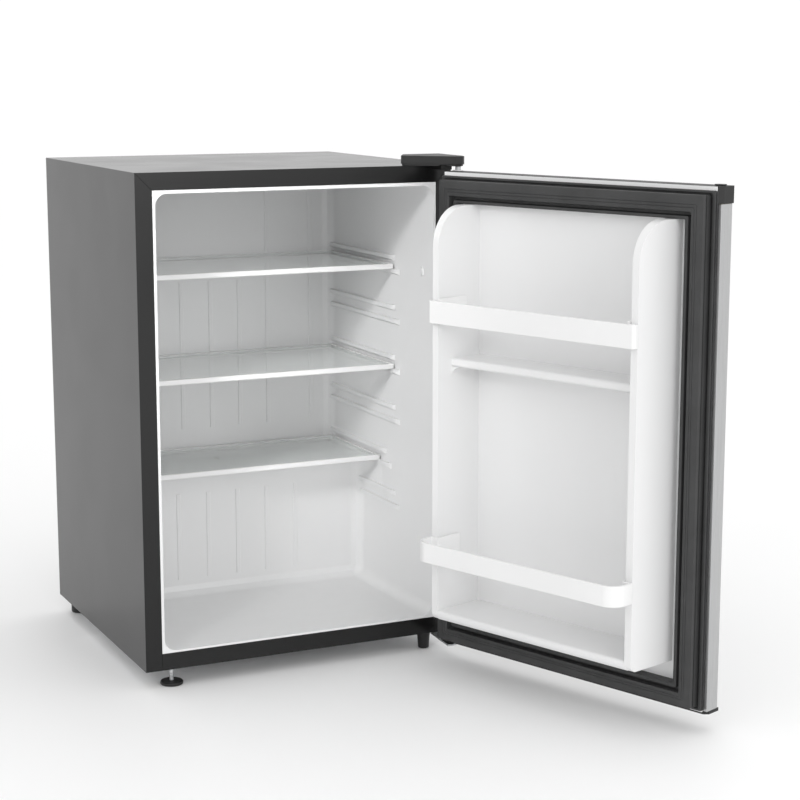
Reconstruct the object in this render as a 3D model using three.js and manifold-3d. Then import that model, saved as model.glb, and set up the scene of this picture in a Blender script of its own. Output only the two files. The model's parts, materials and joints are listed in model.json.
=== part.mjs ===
// A compact all-refrigerator with its door standing open.
//
// Millimetres, +Z up. The cabinet is laid out from its front left bottom corner: +X to the right,
// +Y to the back. The door is laid out flat in its own group, from the hinge axis: +X towards its
// free edge, -Y towards the inside of the fridge, and the group is turned about the hinge.
// At the end everything moves so that the origin is the bottom centre of the whole object.

import * as THREE from 'three';
import { mergeVertices } from 'three/addons/utils/BufferGeometryUtils.js';
import Module from 'manifold-3d';

const wasm = await Module();
wasm.setup();

// ---------------------------------------------------------------- driving dimensions

const GAP = 0.3; // air between two separate pieces
const SHEET = 1.5; // folded steel and vacuum-formed liner
const ROUND_SIDES = 24;

const cabinet = { width: 445, depth: 417.5, height: 653, flange: 22.5, hem: 9 };
const cavity = { left: 26.5, right: 418.5, floor: 25.5, ceiling: 625.8, back: 348, corner: 16, bend: 18 };
const hump = { front: 245, top: 205 }; // the liner's step over the compressor
const machineRoom = { front: 282, ceiling: 177 };
const backPanelY = 396;
const footHeight = 24.5;

const hinge = { x: 435.4, y: -39.8, openDegrees: 110.4 };
const door = {
  hingeEdge: -9.6, freeEdge: 435.4, bottom: 0.8, top: 647, outside: 6.3, inside: -19.5,
  skin: 1.2, lip: 9, edgeRound: 6, topCapHeight: 20.6, bottomCapHeight: 3.7, capChamfer: 5, capRound: 1.5,
};
const doorCentre = (door.hingeEdge + door.freeEdge) / 2;
const doorLiner = { back: -19.8, face: -22.3, halfWidth: 216.5, bottom: 4, top: 646.6, wall: 2 };
const dyke = {
  front: -99.5, outerHalf: 164.9, innerHalf: 155.2, draft: 5.6, bottom: 60, top: 607, topRadius: 50,
};
// The gasket's steps from its outer to its inner edge: half its width, its lowest and its highest point.
const gasket = {
  skirt: [218, 6, 642], head: [211, 10.5, 637], headInner: [193, 27.5, 616.5],
  lip: [188, 32, 611.5], inner: [182.5, 37, 607.3],
  back: doorLiner.face - GAP, skirtFront: -27, headFront: -39.5, webFront: -31, lipFront: -37,
  wrapBack: -19.8,
};
const bush = { hole: 5.1, outer: 4.8, inner: 3.85, flange: 7 };
const capPlug = { x: 424, y: -6 };

const shelfSlots = [498, 427, 355, 283, 213.6, 157];
const shelves = [
  { name: 'top_shelf', slot: 498, front: 120 },
  { name: 'middle_shelf', slot: 355, front: 118 },
  { name: 'bottom_shelf', slot: 213.6, front: 166 },
];

const evaporatorY = cavity.back + SHEET + 2 * GAP;
const suction = { x: 90, y: 375 };
const drain = { x: 222.5, y: 330, radius: 5 };
const compressor = { x: 290, y: 349, radius: 52, bottom: 14, height: 132 };
const condenser = { y: 407, left: 45, right: 400, bottom: 215, top: 615, runs: 9, radius: 2.4 };

const levelling = { x: 39.5, y: 15, stud: 2.9, padRadius: 15.25, padHeight: 5 };
const rightLeg = { x: 412.5, y: 15, foot: 6.9, top: 9.5 };
const plug = { y: 34, z: 506, stem: 3.5, cap: 7 };
const thermostat = { y: 186, z: 576, face: 44 };
const lowerHinge = { top: -GAP, thick: 2.5, pin: 3.6, screws: [[404, 40], [432, 40]] };
const upperHinge = { bottom: cabinet.height + GAP, thick: 3, pin: 3.7, screws: [[398, 16], [424, 16]] };
const hingeCover = { low: cabinet.height + GAP, plinth: 2.4, height: 13.3, roof: 2 };

// ---------------------------------------------------------------- finishes

const finish = (color, roughness, metalness = 0) =>
  new THREE.MeshStandardMaterial({ color, roughness, metalness });
const blackPaint = finish(0x242526, 0.35, 0.1);
const blackPlastic = finish(0x2b2b2c, 0.45);
const darkRubber = finish(0x3c3d3e, 0.7);
const whitePlastic = finish(0xe9e9e8, 0.4);
const whiteTrim = finish(0xf3f3f2, 0.35);
const foamFinish = finish(0xe8dcae, 0.95);
const stainless = finish(0xb9babb, 0.35, 1);
const zinc = finish(0xa9abae, 0.45, 1);
const copper = finish(0xb06a45, 0.35, 1);
const aluminium = finish(0xc4c6c8, 0.4, 1);
const glass = new THREE.MeshStandardMaterial({
  color: 0xdfe9e6, roughness: 0.05, transparent: true, opacity: 0.35,
});

// ---------------------------------------------------------------- geometry helpers

function toSolid(geometry) {
  const bare = geometry.clone();
  bare.deleteAttribute('normal');
  bare.deleteAttribute('uv');
  const merged = mergeVertices(bare, 1e-4);
  return new wasm.Manifold(new wasm.Mesh({
    numProp: 3,
    vertProperties: new Float32Array(merged.attributes.position.array),
    triVerts: new Uint32Array(merged.index.array),
  }));
}

function toGeometry(solid) {
  const mesh = solid.getMesh();
  const geometry = new THREE.BufferGeometry();
  geometry.setAttribute('position', new THREE.BufferAttribute(mesh.vertProperties, 3));
  geometry.setIndex(new THREE.BufferAttribute(mesh.triVerts, 1));
  geometry.computeVertexNormals();
  return geometry;
}

const join = (first, ...others) => others.reduce((whole, part) => whole.add(part), first);
const cut = (first, ...others) => others.reduce((whole, part) => whole.subtract(part), first);

function box(x0, x1, y0, y1, z0, z1) {
  const geometry = new THREE.BoxGeometry(x1 - x0, y1 - y0, z1 - z0);
  return toSolid(geometry.translate((x0 + x1) / 2, (y0 + y1) / 2, (z0 + z1) / 2));
}

// Extrudes an outline drawn in x and y upwards from z0 to z1.
function extrudeUp(shape, z0, z1, curveSegments = 6) {
  const options = { depth: z1 - z0, bevelEnabled: false, curveSegments };
  return toSolid(new THREE.ExtrudeGeometry(shape, options).translate(0, 0, z0));
}

// Extrudes an outline drawn in x and z from y0 back to y1.
function extrudeBack(shape, y0, y1, curveSegments = 6) {
  const options = { depth: y1 - y0, bevelEnabled: false, curveSegments };
  return toSolid(new THREE.ExtrudeGeometry(shape, options).rotateX(Math.PI / 2).translate(0, y1, 0));
}

// Extrudes an outline drawn in y and z from x0 across to x1; shape names them x and y.
function extrudeAcross(shape, x0, x1, curveSegments = 6) {
  const options = { depth: x1 - x0, bevelEnabled: false, curveSegments };
  const turn = new THREE.Matrix4().makeBasis(
    new THREE.Vector3(0, 1, 0), new THREE.Vector3(0, 0, 1), new THREE.Vector3(1, 0, 0));
  return toSolid(new THREE.ExtrudeGeometry(shape, options).applyMatrix4(turn).translate(x0, 0, 0));
}

function outline(points) {
  return new THREE.Shape(points.map(([a, b]) => new THREE.Vector2(a, b)));
}

function roundedRectangle(a0, a1, b0, b1, radius) {
  const shape = new THREE.Shape();
  shape.moveTo(a0 + radius, b0);
  shape.lineTo(a1 - radius, b0);
  shape.absarc(a1 - radius, b0 + radius, radius, -Math.PI / 2, 0);
  shape.lineTo(a1, b1 - radius);
  shape.absarc(a1 - radius, b1 - radius, radius, 0, Math.PI / 2);
  shape.lineTo(a0 + radius, b1);
  shape.absarc(a0 + radius, b1 - radius, radius, Math.PI / 2, Math.PI);
  shape.lineTo(a0, b0 + radius);
  shape.absarc(a0 + radius, b0 + radius, radius, Math.PI, 1.5 * Math.PI);
  return shape;
}

// Turns a profile of [radius, z] points about a vertical axis at x, y.
function turned(x, y, profile, sides = ROUND_SIDES) {
  const points = profile.map(([radius, z]) => new THREE.Vector2(radius, z));
  return toSolid(new THREE.LatheGeometry(points, sides).rotateX(Math.PI / 2).translate(x, y, 0));
}

function rod(x, y, z0, z1, radius, sides = ROUND_SIDES) {
  return turned(x, y, [[0, z0], [radius, z0], [radius, z1], [0, z1]], sides);
}

// Turns a profile of [radius, x] points about an axis along X at y, z.
function turnedAcross(y, z, profile, sides = ROUND_SIDES) {
  const points = profile.map(([radius, x]) => new THREE.Vector2(radius, x));
  return toSolid(new THREE.LatheGeometry(points, sides).rotateZ(-Math.PI / 2).translate(0, y, z));
}

function ring(x, y, z0, z1, inner, outer, sides = ROUND_SIDES) {
  return turned(x, y, [[inner, z0], [outer, z0], [outer, z1], [inner, z1], [inner, z0]], sides);
}

// Bends a tube round the corners of a list of points, with the same radius at each corner.
function tube(points, bendRadius, radius, sides = 8) {
  const corners = points.map((point) => new THREE.Vector3(...point));
  const path = new THREE.CurvePath();
  let start = corners[0];
  for (let i = 1; i < corners.length - 1; i += 1) {
    const back = corners[i - 1].clone().sub(corners[i]).normalize();
    const ahead = corners[i + 1].clone().sub(corners[i]).normalize();
    const bendIn = corners[i].clone().addScaledVector(back, bendRadius);
    const bendOut = corners[i].clone().addScaledVector(ahead, bendRadius);
    path.add(new THREE.LineCurve3(start, bendIn));
    path.add(new THREE.QuadraticBezierCurve3(bendIn, corners[i], bendOut));
    start = bendOut;
  }
  path.add(new THREE.LineCurve3(start, corners[corners.length - 1]));
  const samples = [path.curves[0].getPoint(0)];
  for (const curve of path.curves) {
    const steps = curve.isLineCurve3 ? 1 : 3;
    for (let i = 1; i <= steps; i += 1) samples.push(curve.getPoint(i / steps));
  }
  const section = new THREE.Shape();
  for (let i = 0; i < sides; i += 1) {
    const angle = (2 * Math.PI * i) / sides;
    const corner = [radius * Math.cos(angle), radius * Math.sin(angle)];
    if (i === 0) section.moveTo(...corner);
    else section.lineTo(...corner);
  }
  section.closePath();
  return toSolid(new THREE.ExtrudeGeometry(section, {
    steps: samples.length - 1, extrudePath: new SampledPath(samples), bevelEnabled: false,
  }));
}

// A path whose equal steps land exactly on the given points.
class SampledPath extends THREE.Curve {
  constructor(samples) {
    super();
    this.samples = samples;
  }

  getPoint(t, target = new THREE.Vector3()) {
    const place = t * (this.samples.length - 1);
    const index = Math.min(Math.floor(place + 1e-9), this.samples.length - 2);
    return target.lerpVectors(this.samples[index], this.samples[index + 1], place - index);
  }

  getPointAt(t, target) {
    return this.getPoint(t, target);
  }

  getTangent(t, target = new THREE.Vector3()) {
    const place = t * (this.samples.length - 1);
    const near = Math.round(place);
    const before = this.samples[Math.max(near - 1, 0)];
    const after = this.samples[Math.min(near + 1, this.samples.length - 1)];
    return target.subVectors(after, before).normalize();
  }

  getTangentAt(t, target) {
    return this.getTangent(t, target);
  }
}

const object = new THREE.Group();
const frame = new THREE.Group();
object.add(frame);
const doorGroup = new THREE.Group();
doorGroup.position.set(hinge.x, hinge.y, 0);
doorGroup.rotation.z = THREE.MathUtils.degToRad(180 + hinge.openDegrees);
frame.add(doorGroup);

function addTo(group, name, solid, material) {
  const mesh = new THREE.Mesh(toGeometry(solid), material);
  mesh.name = name;
  group.add(mesh);
}

// ---------------------------------------------------------------- cabinet: steel and foam

function cabinetShell() {
  const { width, depth, height, flange, hem } = cabinet;
  const wrap = cut(
    box(0, width, 0, depth, 0, height),
    box(SHEET, width - SHEET, SHEET, depth + 1, -1, height - SHEET),
    box(flange, width - flange, -1, SHEET + 1, -1, height - flange));
  const hems = join(
    box(flange - SHEET, flange, SHEET / 2, hem, 0, height - flange + SHEET),
    box(width - flange, width - flange + SHEET, SHEET / 2, hem, 0, height - flange + SHEET),
    box(flange - SHEET, width - flange + SHEET, SHEET / 2, hem, height - flange, height - flange + SHEET));
  return cut(join(wrap, hems), mitreGroove(0, 1), mitreGroove(width, -1));
}

// The joint line across a top corner of the front flange.
function mitreGroove(cornerX, direction) {
  const groove = { half: 0.25, depth: 0.4 };
  const reach = cabinet.flange + 1;
  const top = cabinet.height;
  const points = [
    [cornerX - direction * groove.half, top + groove.half],
    [cornerX + direction * groove.half, top + groove.half],
    [cornerX + direction * (reach + groove.half), top - reach + groove.half],
    [cornerX + direction * (reach - groove.half), top - reach - groove.half],
    [cornerX - direction * groove.half, top - groove.half],
  ];
  return extrudeBack(outline(points), -1, groove.depth);
}

function frontBottomRail() {
  const { width, flange, hem } = cabinet;
  const left = flange + GAP;
  const right = width - flange - GAP;
  const channel = join(
    box(left, right, 0, SHEET, 0, flange),
    box(left, right, 0, 28, 0, SHEET),
    box(left, right, 0, hem, flange - SHEET, flange));
  return cut(channel, rod(levelling.x, levelling.y, -1, SHEET + 1, levelling.stud + 0.4));
}

function basePan() {
  const { front, ceiling } = machineRoom;
  const rear = backPanelY - GAP;
  const profile = outline([
    [28.5, 0], [front, 0], [front, ceiling], [rear, ceiling], [rear, ceiling + SHEET],
    [front - SHEET, ceiling + SHEET], [front - SHEET, SHEET], [28.5, SHEET],
  ]);
  const inset = SHEET + GAP;
  const holes = [
    rod(suction.x, suction.y, ceiling - 2, ceiling + 4, 6, 12),
    rod(drain.x, drain.y, ceiling - 2, ceiling + 4, drain.radius, 12),
    ...lowerHinge.screws.map(([x, y]) => rod(x, y, -1, SHEET + 1, 2.4, 12)),
  ];
  return cut(extrudeAcross(profile, inset, cabinet.width - inset), ...holes);
}

function backPanel() {
  const inset = SHEET + GAP;
  const bottom = machineRoom.ceiling;
  const top = cabinet.height - inset;
  const panel = box(inset, cabinet.width - inset, backPanelY, backPanelY + SHEET, bottom, top);
  const stiffeners = [120, 325].map((x) =>
    box(x - 5, x + 5, backPanelY + SHEET / 2, backPanelY + 2 * SHEET, bottom + 60, cabinet.height - 60));
  return join(panel, ...stiffeners);
}

// The space inside the liner, grown by a given amount on every side.
function innerSpace(grow) {
  const { left, right, floor, ceiling, back, corner, bend } = cavity;
  const room = (bottom, rear) => {
    const shape = roundedRectangle(left - grow, right + grow, bottom - grow, ceiling + grow, corner + grow);
    const length = rear + grow + 60;
    const geometry = new THREE.ExtrudeGeometry(shape, {
      depth: length - 2 * bend, curveSegments: 4, bevelSegments: 3,
      bevelSize: Math.min(bend, corner) - 1, bevelOffset: 1 - Math.min(bend, corner), bevelThickness: bend,
    });
    geometry.rotateX(Math.PI / 2).translate(0, rear + grow - bend, 0);
    return toSolid(geometry);
  };
  return join(room(floor, hump.front), room(hump.top, back));
}

// A rib along a side wall that a shelf rests on or slides under; its front end runs out into the wall.
function shelfRib(side, slot, above, front) {
  const wall = side < 0 ? cavity.left : cavity.right;
  const base = slot + (above ? 19 : 0);
  const rear = slot > hump.top ? cavity.back + 0.5 : hump.front + 0.5;
  const inward = -side * 5;
  const points = [
    [wall + side, base - 5], [wall + inward, base - 2], [wall + inward, base + 3], [wall + side, base + 4]];
  if (side < 0) points.reverse();
  const rib = extrudeBack(outline(points), front, rear);
  const nose = [
    [wall + 0.4 * side, front - 1], [wall + 0.4 * side, front], [wall + 0.6 * inward, front + 5],
    [wall + 1.02 * inward, front + 15], [wall + 1.4 * inward, front + 15], [wall + 1.4 * inward, front - 1]];
  return cut(rib, extrudeUp(outline(nose), base - 9, base + 9));
}

function shelfRibs() {
  const ribs = [];
  for (const side of [-1, 1]) {
    for (const slot of shelfSlots) {
      const setBack = slot === shelves[2].slot ? 28 : 0;
      ribs.push(shelfRib(side, slot, false, 104 + setBack));
      ribs.push(shelfRib(side, slot, true, 119 + setBack));
    }
  }
  return ribs;
}

// Raised vertical beads that stiffen the liner's back wall and the front of the hump.
function backBeads() {
  const centre = cabinet.width / 2;
  const bead = (x, wallY, z0, z1, proud) => {
    const points = [
      [x - 4, wallY + 1], [x - 2.5, wallY - proud], [x + 2.5, wallY - proud], [x + 4, wallY + 1]];
    return extrudeUp(outline(points), z0, z1);
  };
  const beads = [];
  for (const step of [-2, -1, 0, 1, 2]) {
    const x = centre + 45.3 * step;
    beads.push(bead(x, hump.front, 50, 176, 1.2));
    beads.push(bead(x, cavity.back, 250, Math.abs(step) === 2 ? 602 : 470, 1.2));
  }
  for (const offset of [-160.5, 160.5]) beads.push(bead(centre + offset, cavity.back, 250, 602, 1.2));
  return beads;
}

function innerLiner() {
  const { width, height, flange } = cabinet;
  const edge = flange + GAP;
  const front = 0.2;
  const rim = box(edge, width - edge, front, front + 2, edge, height - edge);
  const space = innerSpace(0);
  const skin = cut(join(innerSpace(SHEET), rim), space);
  const shell = cut(skin, box(-50, 500, -200, front, -50, 700));
  const plugHole = turnedAcross(plug.y, plug.z, [[0, cavity.right - 5], [plug.stem + 0.4, cavity.right - 5],
    [plug.stem + 0.4, cavity.right + 5], [0, cavity.right + 5]]);
  const drainHole = rod(drain.x, drain.y, hump.top - 6, hump.top + 6, drain.radius, 12);
  return cut(join(shell, ...shelfRibs(), ...backBeads()), plugHole, drainHole);
}

// Foam fills the cabinet between the steel and the liner, with room for what is set into it.
function cabinetFoam() {
  const clear = SHEET + GAP;
  const front = cabinet.hem + GAP;
  const rear = backPanelY - GAP;
  const step = machineRoom.front - clear;
  const roof = cabinet.height - clear;
  const block = extrudeAcross(outline([
    [front, cavity.floor - clear], [28, cavity.floor - clear], [28, clear], [step, clear],
    [step, machineRoom.ceiling + clear], [rear, machineRoom.ceiling + clear], [rear, roof], [front, roof],
  ]), clear, cabinet.width - clear);
  const room = extrudeAcross(outline([
    [0, cavity.floor - clear], [hump.front + clear, cavity.floor - clear],
    [hump.front + clear, hump.top - clear], [cavity.back + clear, hump.top - clear],
    [cavity.back + clear, cavity.ceiling + clear], [0, cavity.ceiling + clear],
  ]), cavity.left - clear, cavity.right + clear);
  return cut(
    block,
    room,
    box(cavity.right, cavity.right + 16, 0, plug.y + 10, plug.z - 10, plug.z + 10),
    box(55, 390, cavity.back, evaporatorY + 6, 230, 606),
    box(suction.x - 8, suction.x + 8, cavity.back, suction.y + 8, machineRoom.ceiling, 262),
    box(drain.x - 8, drain.x + 8, drain.y - 8, drain.y + 8, machineRoom.ceiling, hump.top + 4));
}

// ---------------------------------------------------------------- cabinet: cooling circuit

function evaporatorPlate() {
  const plate = extrudeBack(roundedRectangle(60, 385, 240, 600, 6), evaporatorY, evaporatorY + 1.6, 2);
  const [half, first, pitch, rows] = [5, 270, 50, 7];
  const [front, rear] = [evaporatorY + 1, evaporatorY + 3.4];
  const channels = [];
  for (let i = 0; i < rows; i += 1) {
    const z = first + i * pitch;
    channels.push(extrudeBack(roundedRectangle(80, 365, z - half, z + half, half - 0.1), front, rear, 3));
  }
  for (let i = 0; i < rows - 1; i += 1) {
    const x = i % 2 ? 80 + half : 365 - half;
    channels.push(box(x - half, x + half, front, rear, first + i * pitch, first + (i + 1) * pitch));
  }
  return join(plate, ...channels);
}

function compressorBody() {
  const { x, y, radius, bottom, height } = compressor;
  const middle = bottom + height * 0.45;
  const top = bottom + height;
  const shell = turned(x, y, [
    [0, bottom], [radius * 0.62, bottom], [radius * 0.9, bottom + 8], [radius, bottom + 22], [radius, middle],
    [radius + 3, middle], [radius + 3, middle + 4], [radius, middle + 4], [radius, top - 30],
    [radius * 0.88, top - 13], [radius * 0.6, top - 4], [radius * 0.3, top - 0.5], [0, top],
  ], 22);
  const plate = box(x - 78, x + 78, y - 42, y + 42, bottom - 2.2, bottom + 1);
  const stub = rod(x + 30, y - 30, top - 40, top - 2, 5, 12);
  return join(shell, plate, stub);
}

const grommetPlaces = [[-68, -32], [68, -32], [-68, 32], [68, 32]];

function compressorGrommet([dx, dy]) {
  const { x, y, bottom } = compressor;
  const top = bottom - 2.2 - GAP;
  const low = 2 + GAP;
  return turned(x + dx, y + dy, [
    [3, low], [10, low], [8, low + 4], [9, top], [3, top], [3, low]], 12);
}

function relayCover() {
  const { x, y, radius } = compressor;
  const right = x - radius - 3 - GAP;
  return extrudeUp(roundedRectangle(right - 32, right, y - 25, y + 25, 5), 52, 108, 3);
}

function condenserCoil() {
  const { y, left, right, bottom, top, runs, radius } = condenser;
  const pitch = (top - bottom) / (runs - 1);
  const points = [[left, y, top]];
  for (let i = 0; i < runs; i += 1) {
    const z = top - i * pitch;
    const far = i % 2 ? left : right;
    points.push([far, y, z]);
    if (i < runs - 1) points.push([far, y, z - pitch]);
  }
  points.push([right, y, 165], [right - 10, y - 20, 165]);
  return tube(points, 9.5, radius, 6);
}

function condenserBracket(x) {
  const { y, bottom, top, radius } = condenser;
  const rear = y - radius - GAP;
  return join(
    box(x - 6, x + 6, rear - 1.2, rear, bottom - 15, top + 15),
    ...[bottom - 10, top + 10].map((z) => box(x - 6, x + 6, backPanelY + SHEET + GAP, rear, z - 5, z + 5)));
}

function filterDrier() {
  const profile = [[0, 0], [3, 0], [3, 6], [9.5, 12], [9.5, 62], [3, 68], [3, 74], [0, 74]];
  const solid = turned(0, 0, profile, 16);
  return solid.rotate([0, 90, 0]).translate([140, 398, 150]);
}

function suctionTube() {
  const { x, y } = compressor;
  return tube([
    [suction.x, evaporatorY + 6, 248], [suction.x, suction.y, 248], [suction.x, suction.y, 130],
    [suction.x, 300, 130], [x - 30, 300, 160], [x - 18, y - 6, 160], [x - 18, y - 6, 150]], 8, 3);
}

function capillaryTube() {
  return tube([[110, 398, 150], [110, 398, 120], [75, 398, 120], [75, 360, 135], [75, 360, 160]], 8, 1.2, 6);
}

function dischargeTube() {
  const { x, y } = compressor;
  return tube([
    [x + 30, y - 30, 146.5], [x + 30, y - 30, 158], [x + 90, y + 20, 158], [385, 385, 158]], 7, 2.4);
}

function drainTube() {
  return ring(drain.x, drain.y, 160, hump.top - SHEET - GAP, 2.6, 4.2, 12);
}

function dripTray() {
  const { x, y, bottom, height } = compressor;
  const floor = bottom + height + 3;
  const left = drain.x - 25;
  const right = x - 44;
  const tray = extrudeUp(roundedRectangle(left, right, y - 46, y + 34, 10), floor, floor + 10, 3);
  const well = extrudeUp(roundedRectangle(left + 2, right - 2, y - 44, y + 32, 8), floor + 2, floor + 12, 3);
  return cut(tray, well);
}

function compressorRail() {
  const inset = SHEET + GAP;
  return box(inset, cabinet.width - inset, 296, 414, 0, 2);
}

// ---------------------------------------------------------------- cabinet: fittings

function linerPlug() {
  const wall = cavity.right;
  return turnedAcross(plug.y, plug.z, [
    [0, wall - 2.6], [5, wall - 2.4], [plug.cap, wall - GAP], [plug.stem, wall - GAP],
    [plug.stem, wall + 6], [0, wall + 6]]);
}

function thermostatHousing() {
  const { y, z, face } = thermostat;
  const shape = roundedRectangle(y - 36, y + 36, z - 24, z + 24, 8);
  const shell = extrudeAcross(shape, cavity.left + GAP, face, 4);
  return cut(shell, turnedAcross(y, z, [[0, face - 4], [3.4, face - 4], [3.4, face + 4], [0, face + 4]], 16));
}

function thermostatKnob() {
  const { y, z, face } = thermostat;
  const base = face + GAP;
  const dial = turnedAcross(y, z, [
    [0, face - 3], [3, face - 3], [3, base], [17, base], [17, base + 4], [15, base + 11],
    [13.5, base + 12], [0, base + 12]]);
  return join(dial, box(base + 10, base + 16, y - 2.2, y + 2.2, z - 13, z + 13));
}

function rearFoot(x) {
  return turned(x, 397, [
    [0, -footHeight], [13, -footHeight], [14, -footHeight + 1.5], [14, -6], [9, -GAP], [0, -GAP]], 20);
}

function levellingStud() {
  const top = 14;
  const { x, y, stud, padHeight } = levelling;
  const threads = [];
  for (let z = -footHeight + padHeight + 3; z < top - 3; z += 5) {
    threads.push([stud, z], [stud - 0.5, z + 1.2], [stud, z + 2.4]);
  }
  const low = -footHeight + padHeight + GAP;
  return turned(x, y, [[0, low], [stud, low], ...threads, [stud - 1, top], [0, top]], 10);
}

function levellingPad() {
  const { x, y, padRadius, padHeight } = levelling;
  const low = -footHeight;
  return turned(x, y, [
    [0, low], [padRadius - 1, low], [padRadius, low + 1], [padRadius, low + padHeight - 1.2],
    [padRadius - 1.2, low + padHeight], [0, low + padHeight]]);
}

function levellingNut() {
  const { x, y, stud } = levelling;
  const corners = Array.from({ length: 6 }, (_, i) => i * Math.PI / 3);
  const hexagon = outline(corners.map((angle) => [x + 6.4 * Math.cos(angle), y + 6.4 * Math.sin(angle)]));
  return cut(extrudeUp(hexagon, SHEET + GAP, SHEET + 6), rod(x, y, 0, 12, stud + 0.35));
}

function frontRightLeg() {
  const { x, y, foot, top } = rightLeg;
  return turned(x, y, [
    [0, -footHeight], [foot, -footHeight], [foot + 0.85, -footHeight + 1], [top, -GAP], [0, -GAP]], 20);
}

// The plate is screwed on behind the leg, passes it on the right and runs forward under the door.
function lowerHingePlate() {
  const { top, thick, screws } = lowerHinge;
  const shape = outline([
    [394, 50], [443, 50], [443, 0], [446, -34], [444, -46], [436, -54], [420, -60], [413.5, -58.5],
    [418.5, 3.5], [424, 8], [424, 27], [394, 27]]);
  const holes = screws.map(([x, y]) => rod(x, y, -10, 5, 2.4, 12));
  return cut(extrudeUp(shape, top - thick, top), ...holes);
}

function lowerHingeScrew([x, y]) {
  const head = lowerHinge.top - lowerHinge.thick - GAP;
  const tip = SHEET - 0.1;
  return turned(x, y, [
    [0, head - 1.8], [3, head - 1.8], [4.2, head - 0.6], [4.2, head], [2, head], [2, tip], [0, tip]], 14);
}

function upperHingeBracket() {
  const { bottom, thick, screws } = upperHinge;
  const shape = outline([
    [392, 29], [438, 29], [440, -2], [440.8, -36], [437, -43], [431, -43], [384, 0]]);
  const stop = box(413, 429, -34, -2, cabinet.height - 4.5, bottom + 1);
  const holes = screws.map(([x, y]) => rod(x, y, bottom - 5, bottom + 9, 2.5, 12));
  return cut(join(extrudeUp(shape, bottom, bottom + thick), stop), ...holes);
}

// The cover's outline, drawn in towards its middle by a share of its size.
function hingeCoverOutline(share) {
  const middle = [412, -2];
  const corners = [
    [372, 4], [429, -47.5], [438, -48.5], [442.5, -44], [445, -34], [444, 0], [444, 36], [390, 36]];
  const drawnIn = (value, axis) => middle[axis] + (value - middle[axis]) * share;
  return outline(corners.map((corner) => corner.map(drawnIn)));
}

function upperHingeCover() {
  const { low, plinth, height, roof } = hingeCover;
  const body = join(
    extrudeUp(hingeCoverOutline(0.965), low, low + plinth),
    extrudeUp(hingeCoverOutline(1), low + plinth, low + height));
  const room = extrudeUp(hingeCoverOutline(0.93), low - 1, low + height - roof);
  return cut(body, room, box(412, 430, -40, -1, low - 1, low + 1.5));
}

function upperHingeScrew([x, y]) {
  const seat = upperHinge.bottom + upperHinge.thick + GAP;
  const low = cabinet.height + GAP;
  return turned(x, y, [
    [0, low], [2.2, low], [2.2, seat], [5, seat], [5, seat + 2.4], [3, seat + 3.2], [0, seat + 3.2]], 14);
}

function cordGland() {
  const collar = turned(0, 0, [[4, -3], [8, -3], [8, 0], [11, 0], [11, 4], [9, 6], [4, 6], [4, -3]], 16);
  return collar.rotate([-90, 0, 0]).translate([405, 418.2, 60]);
}

function machineRoomCover() {
  const inset = SHEET + GAP;
  const plate = box(330, cabinet.width - inset, 415, 416.2, 2 + GAP, machineRoom.ceiling - 2);
  const hole = cut(plate, extrudeBack(new THREE.Shape().absarc(405, 60, 8.4, 0, 2 * Math.PI), 410, 420));
  const slots = Array.from({ length: 5 }, (_, i) =>
    extrudeBack(roundedRectangle(345, 430, 95 + i * 12, 100 + i * 12, 2.4), 410, 420, 2));
  return cut(hole, ...slots);
}

// ---------------------------------------------------------------- shelves

const shelfEdge = { left: 29.5, right: 415.5, back: 338, ledge: 8, rebate: 4, low: 3.4, high: 10.7 };

function shelfFrame({ slot, front }) {
  const { left, right, back, ledge, rebate, low, high } = shelfEdge;
  const rim = box(left, right, front, back, slot + low, slot + high);
  const middle = box(left + ledge, right - ledge, front + ledge, back - ledge, slot, slot + 20);
  const seat = box(left + rebate, right - rebate, front + rebate, back - rebate, slot + low + 3, slot + 20);
  return cut(rim, middle, seat);
}

function shelfGlass({ slot, front }) {
  const { left, right, back, rebate, low } = shelfEdge;
  const inset = rebate + GAP;
  const bottom = slot + low + 3 + GAP;
  return box(left + inset, right - inset, front + inset, back - inset, bottom, bottom + 3.8);
}

// ---------------------------------------------------------------- door

// The door's section seen from above, drawn in by inset, with its two outer edges rounded
// and the inner corner at the free edge cut off.
function doorSection(inset, round, chamfer = 0) {
  const [left, right] = [door.hingeEdge + inset, door.freeEdge - inset];
  const [inner, outer] = [door.inside + inset, door.outside - inset];
  const shape = new THREE.Shape();
  shape.moveTo(left, inner);
  shape.lineTo(right - chamfer, inner);
  if (chamfer > 0) shape.lineTo(right, inner + chamfer);
  shape.absarc(right - round, outer - round, round, 0, Math.PI / 2);
  shape.absarc(left + round, outer - round, round, Math.PI / 2, Math.PI);
  return shape;
}

// Where the door's skin and foam start above the bottom cap and end below the top cap.
const doorSpan = () => [door.bottom + door.bottomCapHeight + GAP, door.top - door.topCapHeight - GAP];

function doorSkin() {
  const { hingeEdge, freeEdge, inside, skin, lip, edgeRound } = door;
  const [low, high] = doorSpan();
  return cut(
    extrudeUp(doorSection(0, edgeRound), low, high),
    extrudeUp(doorSection(skin, edgeRound - skin), low - 1, high + 1),
    box(hingeEdge + lip, freeEdge - lip, inside - 1, inside + skin + 1, low - 1, high + 1));
}

function doorTopCap() {
  const { freeEdge, top, outside, inside, topCapHeight, capChamfer, capRound } = door;
  const low = top - topCapHeight;
  const cap = extrudeUp(doorSection(0, capRound, capChamfer), low, top, 3);
  const hollow = box(14, freeEdge - 7, inside + 2, outside - 2, low - 1, top - 2.5);
  const fingerLine = box(16, freeEdge - 26, -15.4, -14.6, top - 0.6, top + 1);
  const plugSeat = extrudeUp(capPlugOutline(6.3, 5), top - 4, top + 1);
  return cut(cap, hollow, fingerLine, plugSeat, rod(0, 0, low - 1, top + 1, bush.hole));
}

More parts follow.
